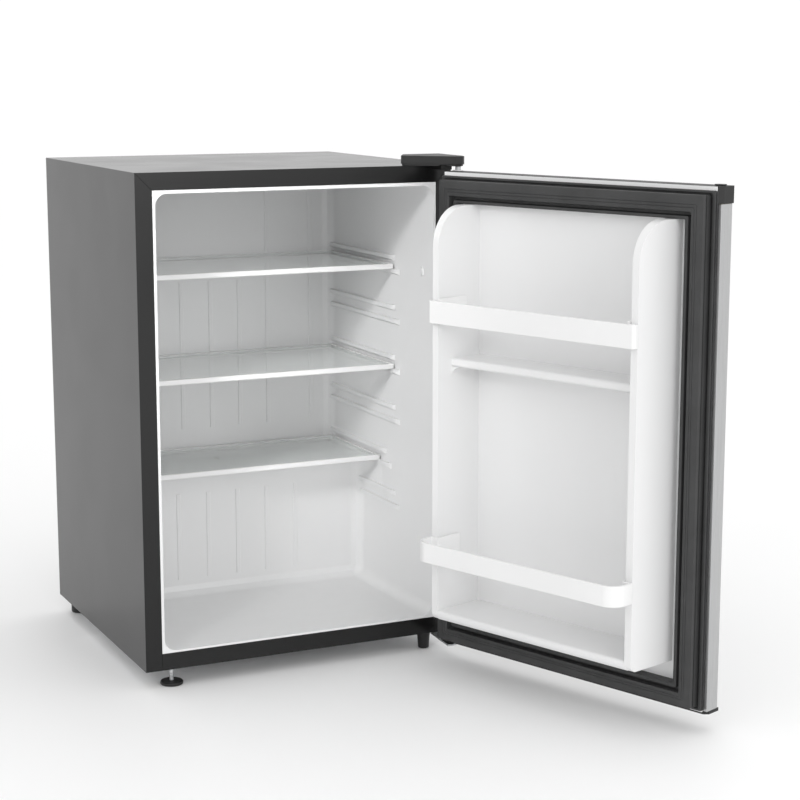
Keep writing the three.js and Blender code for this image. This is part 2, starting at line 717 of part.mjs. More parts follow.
function doorBottomCap() {
  const { hingeEdge, bottom, outside, inside, skin, bottomCapHeight, capChamfer, capRound } = door;
  const rim = bottom + bottomCapHeight;
  const cap = extrudeUp(doorSection(0, capRound, capChamfer), bottom, rim, 3);
  const clear = skin + GAP;
  const boss = box(hingeEdge + 6, 12, inside + clear, outside - clear, rim - 1, rim + 14);
  return cut(join(cap, boss), rod(0, 0, bottom - 1, rim + 11, bush.hole));
}

function capPlugOutline(halfWidth, halfDepth) {
  return new THREE.Shape().absellipse(capPlug.x, capPlug.y, halfWidth, halfDepth, 0, 2 * Math.PI);
}

function upperHingeBush() {
  const { outer, inner, flange } = bush;
  const top = door.top;
  return turned(0, 0, [
    [inner, top - 20], [outer, top - 20], [outer, top + GAP], [flange, top + GAP],
    [flange, top + 1], [inner, top + 1], [inner, top - 20]]);
}

function lowerHingeBush() {
  const { outer, inner } = bush;
  return ring(0, 0, door.bottom, door.bottom + 13, inner, outer);
}

function doorCapPlug() {
  return join(
    extrudeUp(capPlugOutline(5.9, 4.6), door.top - 2.4, door.top + 0.8),
    extrudeUp(capPlugOutline(7.6, 6.2), door.top + GAP, door.top + 1.7));
}

function doorFoam() {
  const { hingeEdge, freeEdge, outside, inside, skin, lip, edgeRound } = door;
  const inset = skin + GAP;
  const [low, high] = doorSpan();
  const core = extrudeUp(doorSection(inset, edgeRound - inset), low, high);
  const centre = box(hingeEdge + lip + GAP, freeEdge - lip - GAP, inside, inside + inset + 1, low, high);
  const fill = dykePair(doorLiner.wall + GAP, doorLiner.back - 1);
  const bossRoom = box(hingeEdge, 12 + GAP, inside, outside, low - 1, low + 14.4);
  return join(cut(join(core, centre), bossRoom), ...fill);
}

// Both upright cheeks that hold the door's shelves, shrunk by inset all round, from the back plane on.
function dykePair(inset, back) {
  const { front, outerHalf, innerHalf, draft, bottom, top, topRadius } = dyke;
  const face = front + inset;
  const low = bottom + inset;
  const high = top - inset;
  const round = topRadius - inset;
  const foot = 10;
  const side = new THREE.Shape();
  side.moveTo(back + 3, low);
  side.lineTo(back + 3, high);
  side.lineTo(face + round, high);
  side.absarc(face + round, high - round, round, Math.PI / 2, Math.PI);
  side.lineTo(face, low + foot);
  side.absarc(face + foot, low + foot, foot, Math.PI, 1.5 * Math.PI);
  return [-1, 1].map((direction) => {
    const geometry = toGeometry(extrudeAcross(side, 0, 1, 8));
    const position = geometry.attributes.position;
    for (let i = 0; i < position.count; i += 1) {
      const depth = (position.getY(i) - front) / (doorLiner.face - front);
      const outer = outerHalf - inset + draft * depth;
      const inner = innerHalf + inset - 0.3 * draft * depth;
      const half = position.getX(i) > 0.5 ? outer : inner;
      position.setX(i, doorCentre + direction * half);
    }
    if (direction < 0) geometry.setIndex([...geometry.index.array].reverse());
    return toSolid(geometry);
  });
}

function doorLinerShell() {
  const { back, face, halfWidth, bottom, top, wall } = doorLiner;
  const plate = box(doorCentre - halfWidth, doorCentre + halfWidth, face, back, bottom, top);
  const inner = dyke.innerHalf + 1;
  const binFloor = (low, high, front, foot, nose) => {
    const shape = new THREE.Shape();
    shape.moveTo(face + 1, low);
    shape.lineTo(face + 1, high);
    shape.lineTo(front + nose, high);
    shape.absarc(front + nose, high - nose, nose, Math.PI / 2, Math.PI);
    shape.lineTo(front, low + foot);
    shape.absarc(front + foot, low + foot, foot, Math.PI, 1.5 * Math.PI);
    return extrudeAcross(shape, doorCentre - inner, doorCentre + inner, 5);
  };
  const lowerFloor = binFloor(dyke.bottom, 73, dyke.front, 8, 4);
  const upperFloor = binFloor(398.5, 409.5, -75, 4, 4);
  const fillets = [-1, 1].map((direction) => cornerFillet(direction, 398.8, 16, face + 1, -75 + 1));
  const solid = join(plate, ...dykePair(0, back - 4), lowerFloor, upperFloor, ...fillets);
  return cut(solid, ...dykePair(wall, back));
}

// Fills the corner between a cheek and the underside of the upper bin with a hollow round.
function cornerFillet(direction, z, radius, back, front) {
  const wallX = doorCentre + direction * (dyke.innerHalf + 0.5);
  const inward = -direction * radius;
  const shape = new THREE.Shape();
  shape.moveTo(wallX, z);
  shape.lineTo(wallX, z - radius);
  const steps = 5;
  for (let i = 1; i <= steps; i += 1) {
    const angle = (Math.PI / 2) * (i / steps);
    shape.lineTo(wallX + inward * (1 - Math.cos(angle)), z - radius + radius * Math.sin(angle));
  }
  return extrudeBack(shape, front, back);
}

function doorGasket() {
  const { skirt, head, headInner, lip, inner, back, wrapBack } = gasket;
  const frameOf = ([half, low, high], front, rear) =>
    extrudeBack(roundedRectangle(doorCentre - half, doorCentre + half, low, high, 3), front, rear, 2);
  const band = (outer, hole, front) => cut(frameOf(outer, front, back), frameOf(hole, front - 1, back + 1));
  const wraps = [-1, 1].map((side) => {
    const near = doorCentre + side * (doorLiner.halfWidth + GAP);
    const far = doorCentre + side * skirt[0];
    const front = gasket.skirtFront + 1;
    return box(Math.min(near, far), Math.max(near, far), front, wrapBack, skirt[1] + 4, skirt[2] - 4);
  });
  return join(
    band(skirt, headInner, gasket.skirtFront),
    band(head, headInner, gasket.headFront),
    band([headInner[0] + 1, headInner[1] - 1, headInner[2] + 1], inner, gasket.webFront),
    band(lip, inner, gasket.lipFront),
    ...wraps);
}

// A rail across the door's bin: an open U with arms that run back along the cheeks.
function bottleBar({ front, low, high, armBack, armLow, armHigh, corner }) {
  const half = dyke.outerHalf + 0.8;
  const thick = 3.5;
  const rear = dyke.front - GAP;
  const path = (inset) => {
    const shape = new THREE.Shape();
    const left = doorCentre - half + inset;
    const right = doorCentre + half - inset;
    const radius = Math.max(corner - inset, 0.4);
    shape.moveTo(left, rear + 1);
    shape.lineTo(left, front + inset + radius);
    shape.absarc(left + radius, front + inset + radius, radius, Math.PI, 1.5 * Math.PI);
    shape.lineTo(right - radius, front + inset);
    shape.absarc(right - radius, front + inset + radius, radius, -Math.PI / 2, 0);
    shape.lineTo(right, rear + 1);
    return shape;
  };
  const bow = cut(
    extrudeUp(path(0), low, high, 6),
    extrudeUp(path(thick), low - 1, high + 1, 6),
    box(-60, 500, rear, 20, low - 1, high + 1));
  const armOut = dyke.innerHalf - 1.4;
  const arms = [-1, 1].flatMap((side) => {
    const reach = (from, to) => [doorCentre + side * from, doorCentre + side * to].sort((a, b) => a - b);
    return [
      box(...reach(armOut - 2.5, half - 1), rear - 3, rear, armLow, Math.min(high, armHigh)),
      box(...reach(armOut - 2.5, armOut), rear - 3, armBack, armLow, armHigh),
    ];
  });
  return join(bow, ...arms);
}

// ---------------------------------------------------------------- assembly

function buildCabinet() {
  const add = (name, solid, material) => addTo(frame, name, solid, material);
  add('cabinet_shell', cabinetShell(), blackPaint);
  add('front_bottom_rail', frontBottomRail(), blackPaint);
  add('base_pan', basePan(), zinc);
  add('back_panel', backPanel(), blackPaint);
  add('cabinet_foam', cabinetFoam(), foamFinish);
  add('inner_liner', innerLiner(), whitePlastic);
  add('liner_plug', linerPlug(), whitePlastic);
  add('evaporator_plate', evaporatorPlate(), aluminium);
  add('compressor_rail', compressorRail(), zinc);
  add('compressor', compressorBody(), blackPaint);
  grommetPlaces.forEach((place, i) =>
    add(`compressor_grommet_${i + 1}`, compressorGrommet(place), darkRubber));
  add('starter_relay_cover', relayCover(), blackPlastic);
  add('condenser_coil', condenserCoil(), blackPaint);
  add('condenser_bracket_left', condenserBracket(85), blackPaint);
  add('condenser_bracket_right', condenserBracket(360), blackPaint);
  add('filter_drier', filterDrier(), copper);
  add('suction_tube', suctionTube(), copper);
  add('capillary_tube', capillaryTube(), copper);
  add('discharge_tube', dischargeTube(), copper);
  add('drain_tube', drainTube(), whitePlastic);
  add('drip_tray', dripTray(), blackPlastic);
  add('machine_room_cover', machineRoomCover(), blackPaint);
  add('cord_gland', cordGland(), blackPlastic);
  add('thermostat_housing', thermostatHousing(), whitePlastic);
  add('thermostat_knob', thermostatKnob(), whiteTrim);
  add('rear_foot_left', rearFoot(26), blackPlastic);
  add('rear_foot_right', rearFoot(419), blackPlastic);
  add('front_right_leg', frontRightLeg(), blackPlastic);
  add('levelling_stud', levellingStud(), zinc);
  add('levelling_pad', levellingPad(), blackPlastic);
  add('levelling_nut', levellingNut(), zinc);
}

function buildHinges() {
  const add = (name, solid, material) => addTo(frame, name, solid, material);
  add('lower_hinge_plate', lowerHingePlate(), zinc);
  add('lower_hinge_pin', rod(hinge.x, hinge.y, 0, 13, lowerHinge.pin), zinc);
  lowerHinge.screws.forEach((place, i) => add(`lower_hinge_screw_${i + 1}`, lowerHingeScrew(place), zinc));
  add('upper_hinge_bracket', upperHingeBracket(), blackPaint);
  add('upper_hinge_pin', rod(hinge.x, hinge.y, door.top - 17, cabinet.height, upperHinge.pin), zinc);
  upperHinge.screws.forEach((place, i) => add(`upper_hinge_screw_${i + 1}`, upperHingeScrew(place), zinc));
  add('upper_hinge_cover', upperHingeCover(), blackPlastic);
}

function buildShelves() {
  for (const shelf of shelves) {
    addTo(frame, `${shelf.name}_frame`, shelfFrame(shelf), whiteTrim);
    addTo(frame, `${shelf.name}_glass`, shelfGlass(shelf), glass);
  }
}

function buildDoor() {
  const add = (name, solid, material) => addTo(doorGroup, name, solid, material);
  add('door_skin', doorSkin(), stainless);
  add('door_top_cap', doorTopCap(), blackPlastic);
  add('door_bottom_cap', doorBottomCap(), blackPlastic);
  add('door_cap_plug', doorCapPlug(), blackPlastic);
  add('door_foam', doorFoam(), foamFinish);
  add('door_liner', doorLinerShell(), whitePlastic);
  add('door_gasket', doorGasket(), darkRubber);
  add('upper_hinge_bush', upperHingeBush(), whiteTrim);
  add('lower_hinge_bush', lowerHingeBush(), whiteTrim);
  add('upper_door_bar', bottleBar({
    front: -108, low: 458, high: 487, armBack: -49, armLow: 464, armHigh: 490, corner: 4 }), whiteTrim);
  add('lower_door_bar', bottleBar({
    front: -134, low: 147, high: 173.5, armBack: -60, armLow: 150, armHigh: 173.5, corner: 20 }), whiteTrim);
}

buildCabinet();
buildHinges();
buildShelves();
buildDoor();

object.updateMatrixWorld(true);
const extent = new THREE.Box3().setFromObject(object, true);
const middle = extent.getCenter(new THREE.Vector3());
frame.position.set(-middle.x, -middle.y, -extent.min.z);
object.updateMatrixWorld(true);

export default object;
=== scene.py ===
"""Looks for a compact refrigerator with its door standing open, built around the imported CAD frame.

Metres throughout, in the row frame: +Z up, -Y out of the cabinet's front, floor at z = 0.
Pieces of the door are laid out flat in the door's own frame and turned about its hinge:
there X runs from the hinge towards the free edge and -Y is the side that faces the food.
"""

import json
import math

import bmesh
import bpy
from mathutils import Matrix, Vector


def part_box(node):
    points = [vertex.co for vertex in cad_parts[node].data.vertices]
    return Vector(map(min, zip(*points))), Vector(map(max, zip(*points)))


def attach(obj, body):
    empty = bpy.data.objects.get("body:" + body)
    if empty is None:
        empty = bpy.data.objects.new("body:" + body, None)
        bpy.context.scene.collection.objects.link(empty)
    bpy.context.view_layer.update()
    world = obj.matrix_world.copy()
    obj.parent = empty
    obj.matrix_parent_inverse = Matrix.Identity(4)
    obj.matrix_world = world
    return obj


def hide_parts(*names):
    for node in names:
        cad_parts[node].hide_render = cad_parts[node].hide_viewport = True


MM = 0.001

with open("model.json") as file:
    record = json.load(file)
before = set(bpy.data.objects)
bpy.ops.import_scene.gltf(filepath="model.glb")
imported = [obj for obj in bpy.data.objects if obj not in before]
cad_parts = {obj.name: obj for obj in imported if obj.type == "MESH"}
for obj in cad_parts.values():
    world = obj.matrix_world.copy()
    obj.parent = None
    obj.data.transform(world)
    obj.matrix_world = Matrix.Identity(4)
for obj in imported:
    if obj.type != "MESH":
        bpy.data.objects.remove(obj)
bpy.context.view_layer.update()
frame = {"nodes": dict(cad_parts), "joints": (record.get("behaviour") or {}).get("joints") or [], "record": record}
record = frame["record"]
body_of_node = {node: body for body, nodes in record["behaviour"]["bodies"].items() for node in nodes}
slot_of_node = {row["node"]: row["material_slot"] for row in record["subparts"]}

# ---------------------------------------------------------------- the door's own frame

door_joint = next(joint for joint in frame["joints"] if joint["name"] == "door_hinge")
hinge_x, hinge_y, _ = door_joint["pos_m"]
open_degrees = -door_joint["range_deg"][0]
door_frame = Matrix.Translation((hinge_x, hinge_y, 0)) @ Matrix.Rotation(
    math.radians(180 + open_degrees), 4, "Z")


def door_box(node):
    """Lowest and highest corner of a door node, in the door's own frame."""
    back = door_frame.inverted()
    corners = [back @ vertex.co for vertex in frame["nodes"][node].data.vertices]
    low = Vector(min(corner[axis] for corner in corners) for axis in range(3))
    high = Vector(max(corner[axis] for corner in corners) for axis in range(3))
    return low, high


# ---------------------------------------------------------------- materials


class Look:
    """A Principled material and short ways to drive it from noise in object space."""

    def __init__(self, name, color, roughness, metallic=0.0, **sockets):
        self.material = bpy.data.materials.new(name)
        self.material.use_nodes = True
        self.nodes = self.material.node_tree.nodes
        self.links = self.material.node_tree.links
        self.shader = self.nodes["Principled BSDF"]
        self.shader.inputs["Base Color"].default_value = (*color, 1)
        self.shader.inputs["Roughness"].default_value = roughness
        self.shader.inputs["Metallic"].default_value = metallic
        for socket, value in sockets.items():
            self.shader.inputs[socket.replace("_", " ")].default_value = value
        self.place = self.nodes.new("ShaderNodeTexCoord").outputs["Object"]

    def noise(self, scale, detail=3.0, stretch=(1, 1, 1)):
        """Noise with about scale features a metre, squeezed along each axis by stretch."""
        mapping = self.nodes.new("ShaderNodeMapping")
        mapping.inputs["Scale"].default_value = stretch
        self.links.new(self.place, mapping.inputs["Vector"])
        noise = self.nodes.new("ShaderNodeTexNoise")
        noise.inputs["Scale"].default_value = scale
        noise.inputs["Detail"].default_value = detail
        self.links.new(mapping.outputs["Vector"], noise.inputs["Vector"])
        return noise.outputs["Fac"]

    def cells(self, scale):
        """Distance to the nearest of about scale cells a metre."""
        cells = self.nodes.new("ShaderNodeTexVoronoi")
        cells.inputs["Scale"].default_value = scale
        self.links.new(self.place, cells.inputs["Vector"])
        return cells.outputs["Distance"]

    def spread(self, value, low, high, start=0.3, end=0.7):
        """Maps value from start..end to low..high."""
        spread = self.nodes.new("ShaderNodeMapRange")
        spread.inputs["From Min"].default_value = start
        spread.inputs["From Max"].default_value = end
        spread.inputs["To Min"].default_value = low
        spread.inputs["To Max"].default_value = high
        self.links.new(value, spread.inputs["Value"])
        return spread.outputs["Result"]

    def rough(self, value, low, high):
        self.links.new(self.spread(value, low, high), self.shader.inputs["Roughness"])
        return self

    def tint(self, value, dark, light):
        """Base colour between two colours, by value."""
        mix = self.nodes.new("ShaderNodeMix")
        mix.data_type = "RGBA"
        mix.inputs["A"].default_value = (*dark, 1)
        mix.inputs["B"].default_value = (*light, 1)
        self.links.new(self.spread(value, 0, 1), mix.inputs["Factor"])
        self.links.new(mix.outputs["Result"], self.shader.inputs["Base Color"])
        return self

    def bump(self, value, height):
        """Raises the surface by height metres, at most, where value is high."""
        bump = self.nodes.new("ShaderNodeBump")
        bump.inputs["Distance"].default_value = height
        self.links.new(value, bump.inputs["Height"])
        if self.shader.inputs["Normal"].is_linked:
            self.links.new(self.shader.inputs["Normal"].links[0].from_socket, bump.inputs["Normal"])
        self.links.new(bump.outputs["Normal"], self.shader.inputs["Normal"])
        return self


def shade(value, warmth=0.0):
    """A near-neutral colour; warmth lifts red over blue by that share."""
    return (value * (1 + warmth), value, value * (1 - warmth))


def black_paint():
    look = Look("black_paint", shade(0.005), 0.24, IOR=1.43)
    look.tint(look.noise(4, 3), shade(0.0045), shade(0.0055))
    look.rough(look.noise(12, 4), 0.22, 0.26)
    return look.bump(look.noise(900, 2), 0.000004).material


def compressor_enamel():
    look = Look("compressor_enamel", shade(0.007), 0.2)
    look.tint(look.noise(14, 4), shade(0.005), shade(0.01))
    look.rough(look.noise(50, 4), 0.16, 0.28)
    return look.bump(look.noise(260, 2), 0.00006).material


def black_plastic():
    look = Look("black_plastic", shade(0.01), 0.45, IOR=1.45)
    look.tint(look.noise(20, 4), shade(0.009), shade(0.012))
    look.rough(look.noise(60, 4), 0.42, 0.52)
    return look.bump(look.noise(2600, 2), 0.00003).material


def gasket_vinyl():
    look = Look("gasket_vinyl", shade(0.035), 0.5)
    look.tint(look.noise(25, 4), shade(0.03, -0.01), shade(0.04, -0.01))
    look.rough(look.noise(90, 4), 0.46, 0.6)
    return look.bump(look.noise(1500, 2), 0.00002).material


def grommet_rubber():
    look = Look("grommet_rubber", shade(0.02), 0.75)
    look.rough(look.noise(120, 4), 0.7, 0.85)
    return look.bump(look.noise(1800, 3), 0.00006).material


def liner_plastic():
    look = Look("liner_plastic", shade(0.78, -0.002), 0.34)
    look.tint(look.noise(6, 3), shade(0.775, -0.003), shade(0.785, -0.001))
    look.rough(look.noise(40, 4), 0.3, 0.4)
    return look.bump(look.noise(420, 3), 0.00003).material


def trim_plastic():
    look = Look("trim_plastic", shade(0.82), 0.3)
    look.tint(look.noise(10, 3), shade(0.81), shade(0.83))
    look.rough(look.noise(60, 4), 0.29, 0.32)
    return look.bump(look.noise(1500, 2), 0.000004).material


def brushed_steel():
    look = Look("brushed_steel", shade(0.5, -0.005), 0.3, 1.0, Anisotropic=0.5)
    grain = look.noise(1500, 4, stretch=(1, 1, 0.012))
    look.tint(grain, shade(0.46, -0.006), shade(0.53, -0.004))
    look.rough(look.noise(900, 3, stretch=(1, 1, 0.02)), 0.26, 0.38)
    return look.bump(grain, 0.00001).material


def zinc_steel():
    look = Look("zinc_steel", shade(0.6, -0.02), 0.4, 1.0)
    look.tint(look.cells(160), shade(0.52, -0.02), shade(0.66, -0.015))
    look.rough(look.noise(120, 5), 0.32, 0.5)
    return look.bump(look.noise(400, 3), 0.00002).material


def shelf_glass():
    look = Look("shelf_glass", (0.93, 0.96, 0.95), 0.03, IOR=1.5, Alpha=0.34)
    look.tint(look.noise(5, 2), (0.92, 0.955, 0.945), (0.94, 0.965, 0.955))
    return look.rough(look.noise(60, 4), 0.02, 0.05).material


def copper():
    look = Look("copper", (0.72, 0.38, 0.24), 0.35, 1.0)
    look.tint(look.noise(70, 5), (0.5, 0.25, 0.15), (0.8, 0.44, 0.29))
    look.rough(look.noise(160, 4), 0.25, 0.5)
    return look.bump(look.noise(900, 2), 0.00001).material


def aluminium():
    look = Look("aluminium", shade(0.75), 0.35, 1.0)
    look.tint(look.noise(60, 4), shade(0.68), shade(0.8))
    look.rough(look.noise(200, 4), 0.3, 0.45)
    return look.bump(look.noise(600, 2), 0.00002).material


def insulation_foam():
    look = Look("insulation_foam", (0.85, 0.76, 0.5), 0.9)
    look.tint(look.cells(350), (0.78, 0.68, 0.42), (0.9, 0.82, 0.58))
    look.rough(look.noise(200, 3), 0.85, 0.98)
    return look.bump(look.cells(700), 0.0004).material


def studio_floor():
    look = Look("studio_floor", shade(0.95), 0.6)
    look.tint(look.noise(2, 3), shade(0.945), shade(0.955))
    return look.rough(look.noise(4, 3), 0.55, 0.65).material


materials = {
    "cabinet_paint": black_paint(),
    "compressor_paint": compressor_enamel(),
    "black_plastic": black_plastic(),
    "gasket_vinyl": gasket_vinyl(),
    "grommet_rubber": grommet_rubber(),
    "liner_plastic": liner_plastic(),
    "trim_plastic": trim_plastic(),
    "door_steel": brushed_steel(),
    "zinc_steel": zinc_steel(),
    "shelf_glass": shelf_glass(),
    "copper": copper(),
    "evaporator_aluminium": aluminium(),
    "insulation_foam": insulation_foam(),
}

# ---------------------------------------------------------------- making pieces

SAME_POINT = 0.01 * MM  # corners closer than this are one corner
FLAT_DEGREES = 0.4  # faces that meet at less than this are one flat face
ROUNDED_DEGREES = 30  # edges that bend by more than this are rounded
CAD_SHARP_DEGREES = 75  # shading breaks at sharper edges than this on the CAD's own shapes
TUBE_SHARP_DEGREES = 60
GASKET_SHARP_DEGREES = 35


def add_piece(name, mesh, body, slot, replaced=()):
    """Shows mesh as a piece of that body, in that slot's finish, in place of some CAD nodes."""
    piece = bpy.data.objects.new(name, mesh)
    bpy.context.scene.collection.objects.link(piece)
    mesh.materials.clear()
    mesh.materials.append(materials[slot])
    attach(piece, body)
    if replaced:
        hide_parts(*replaced)
    return piece


def smooth(mesh, sharp_degrees):
    """Smooth shading, broken at edges sharper than the given angle."""
    mesh.polygons.foreach_set("use_smooth", [True] * len(mesh.polygons))
    mesh.set_sharp_from_angle(angle=math.radians(sharp_degrees))
    mesh.update()


def round_edges(piece, width):
    """Rounds a piece's edges with a bevel, and keeps its flat faces flat to the light."""
    bevel = piece.modifiers.new("edges", "BEVEL")
    bevel.width = width
    bevel.segments = 2
    bevel.limit_method = "ANGLE"
    bevel.angle_limit = math.radians(ROUNDED_DEGREES)
    bevel.miter_outer = "MITER_ARC"
    normals = piece.modifiers.new("normals", "WEIGHTED_NORMAL")
    normals.keep_sharp = True


def clean_copy(node, whole_faces):
    """A CAD node's mesh with its shared corners joined and, if wanted, its flat faces whole."""
    mesh = bpy.data.meshes.new(node)
    form = bmesh.new()
    form.from_mesh(frame["nodes"][node].data)
    bmesh.ops.remove_doubles(form, verts=form.verts, dist=SAME_POINT)
    if whole_faces:
        bmesh.ops.dissolve_limit(
            form, angle_limit=math.radians(FLAT_DEGREES), verts=form.verts, edges=form.edges)
    form.to_mesh(mesh)
    form.free()
    return mesh


def build_refined(node, width):
    """A CAD node's finished piece: the same shape with its edges rounded."""
    mesh = clean_copy(node, whole_faces=node not in PIERCED_NODES)
    smooth(mesh, CAD_SHARP_DEGREES)
    piece = add_piece(f"{node}_finished", mesh, body_of_node[node], slot_of_node[node], [node])
    round_edges(piece, width)


def mesh_from(name, vertices, faces):
    """A mesh of those points and faces, with all its faces turned outwards."""
    mesh = bpy.data.meshes.new(name)
    mesh.from_pydata([tuple(vertex) for vertex in vertices], [], faces)
    form = bmesh.new()
    form.from_mesh(mesh)
    bmesh.ops.recalc_face_normals(form, faces=form.faces)
    form.to_mesh(mesh)
    form.free()
    return mesh


def loft(name, loops, closed_way=True):
    """Joins equal loops of points, each to the next, and the last to the first if closed_way."""
    count = len(loops[0])
    vertices = [point for loop in loops for point in loop]
    faces = []
    for row in range(len(loops) if closed_way else len(loops) - 1):
        after = (row + 1) % len(loops)
        for i in range(count):
            j = (i + 1) % count
            faces.append((row * count + i, row * count + j, after * count + j, after * count + i))
    if not closed_way:
        faces.append(tuple(range(count)))
        faces.append(tuple((len(loops) - 1) * count + i for i in range(count)))
    return mesh_from(name, vertices, faces)


def rounded_path(corners, radius, steps=6):
    """The points of a path that turns each corner on an arc-like bend of about that radius."""
    points = [Vector(corners[0])]
    for before, corner, after in zip(corners, corners[1:], corners[2:]):
        before, corner, after = Vector(before), Vector(corner), Vector(after)
        start = corner + (before - corner).normalized() * radius
        end = corner + (after - corner).normalized() * radius
        for step in range(steps + 1):
            t = step / steps
            points.append(start * (1 - t) ** 2 + corner * 2 * t * (1 - t) + end * t * t)
    points.append(Vector(corners[-1]))
    return points


def tube_mesh(name, points, radius, sides=16):
    """A closed round tube along a list of points."""
    loops = []
    normal = None
    for i, point in enumerate(points):
        ahead = points[min(i + 1, len(points) - 1)] - points[max(i - 1, 0)]
        ahead.normalize()
        if normal is None:
            normal = ahead.orthogonal().normalized()
        normal = (normal - ahead * normal.dot(ahead)).normalized()
        side = ahead.cross(normal)
        angles = [2 * math.pi * k / sides for k in range(sides)]
        loops.append([point + (normal * math.cos(a) + side * math.sin(a)) * radius for a in angles])
    mesh = loft(name, loops, closed_way=False)
    smooth(mesh, TUBE_SHARP_DEGREES)
    return mesh


# ---------------------------------------------------------------- the cabinet

PLAIN_NODES = ("cabinet_foam", "door_foam", "evaporator_plate")  # hidden, shown as the CAD has them
PIERCED_NODES = ("inner_liner",)  # other shapes stand inside their flat faces, so those keep their cuts

EDGES = {  # how far each kind of piece's edges are rounded, in millimetres
    "cabinet_shell": 0.7, "front_bottom_rail": 0.5, "base_pan": 0.4, "back_panel": 0.5,
    "liner_plug": 0.4, "thermostat_housing": 1.5, "thermostat_knob": 0.6,
    "compressor": 1.2, "starter_relay_cover": 1.5, "compressor_rail": 0.5, "drip_tray": 0.6,
    "machine_room_cover": 0.3, "cord_gland": 0.5, "filter_drier": 0.8,
    "rear_foot_left": 0.6, "rear_foot_right": 0.6, "front_right_leg": 0.5,
    "levelling_pad": 0.5, "levelling_nut": 0.4, "levelling_stud": 0.15,
    "lower_hinge_plate": 0.5, "lower_hinge_pin": 0.6, "upper_hinge_bracket": 0.5,
    "upper_hinge_pin": 0.5, "upper_hinge_cover": 0.7,
    "lower_hinge_screw_1": 0.2, "lower_hinge_screw_2": 0.2,
    "upper_hinge_screw_1": 0.2, "upper_hinge_screw_2": 0.2,
    "top_shelf_frame": 1.0, "middle_shelf_frame": 1.0, "bottom_shelf_frame": 1.0,
    "top_shelf_glass": 0.5, "middle_shelf_glass": 0.5, "bottom_shelf_glass": 0.5,
    "door_skin": 0.5, "door_top_cap": 0.8, "door_bottom_cap": 0.8, "door_cap_plug": 0.4,
    "door_liner": 2.0, "upper_door_bar": 1.1, "lower_door_bar": 1.1,
    "upper_hinge_bush": 0.2, "lower_hinge_bush": 0.2,
    "suction_tube": 0.1, "capillary_tube": 0.1, "discharge_tube": 0.1, "drain_tube": 0.2,
    "condenser_bracket_left": 0.3, "condenser_bracket_right": 0.3,
    "compressor_grommet_1": 0.6, "compressor_grommet_2": 0.6,
    "compressor_grommet_3": 0.6, "compressor_grommet_4": 0.6,
    "inner_liner": 1.1,
}


COIL_RADIUS = 2.4 * MM
COIL_SEAT = 0.9  # share of the radius between the tube's axis and the CAD coil's rear face
COIL_BEND = 9.5 * MM
COIL_RUNS = 9
COIL_DROP = 400 * MM  # from the highest run to the lowest
COIL_OUTLET = 10 * MM  # how far the tube's end stands in from the coil's right side
WIRE_RADIUS = 0.75 * MM
WIRE_COUNT = 46
WIRE_OVERHANG = 7 * MM  # past the highest and lowest runs
WIRE_MARGIN = 18 * MM  # from the coil's bends to the outer wires
WIRE_OFFSET = 0.6 * MM  # from the tube's surface to the wires' axes


def build_condenser():
    """The serpentine tube, round and smooth, with its cross wires on the open side."""
    low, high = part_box("condenser_coil")
    radius, runs = COIL_RADIUS, COIL_RUNS
    left, right = low.x + radius, high.x - radius
    y = high.y - radius * COIL_SEAT
    top, bottom_run, outlet = high.z - radius, high.z - radius - COIL_DROP, low.z + radius
    pitch = (top - bottom_run) / (runs - 1)
    corners = [(left, y, top)]
    for i in range(runs):
        far = left if i % 2 else right
        corners.append((far, y, top - i * pitch))
        if i < runs - 1:
            corners.append((far, y, top - (i + 1) * pitch))
    corners += [(right, y, outlet), (right - COIL_OUTLET, low.y + radius, outlet)]
    coil = tube_mesh("condenser_coil", rounded_path(corners, COIL_BEND), radius)
    add_piece("condenser_tube", coil, "cabinet", "cabinet_paint", ["condenser_coil"])
    build_condenser_wires(
        left + WIRE_MARGIN, right - WIRE_MARGIN, y + radius + WIRE_OFFSET, bottom_run, top)


def build_condenser_wires(left, right, y, low, high):
    """The upright wires across the coil's runs, evenly spread, as one mesh."""
    vertices, faces = [], []
    for i in range(WIRE_COUNT):
        x = left + (right - left) * i / (WIRE_COUNT - 1)
        ends = [Vector((x, y, low - WIRE_OVERHANG)), Vector((x, y, high + WIRE_OVERHANG))]
        strand = tube_mesh("strand", ends, WIRE_RADIUS, 6)
        start = len(vertices)
        vertices += [vertex.co.copy() for vertex in strand.vertices]
        faces += [tuple(start + v for v in face.vertices) for face in strand.polygons]
        bpy.data.meshes.remove(strand)
    mesh = mesh_from("condenser_wires", vertices, faces)
    smooth(mesh, TUBE_SHARP_DEGREES)
    add_piece("condenser_wires", mesh, "cabinet", "cabinet_paint")


# ---------------------------------------------------------------- the door

# The gasket's steps, in millimetres in from its outer edge: skirt, head, head's far side, lip, inner edge.
GASKET_STEPS = {
    "side": (0, 7, 25, 30, 35.5),
    "foot": (0, 4.5, 21.5, 26, 31),
    "top": (0, 5, 25.5, 30.5, 34.7),
}

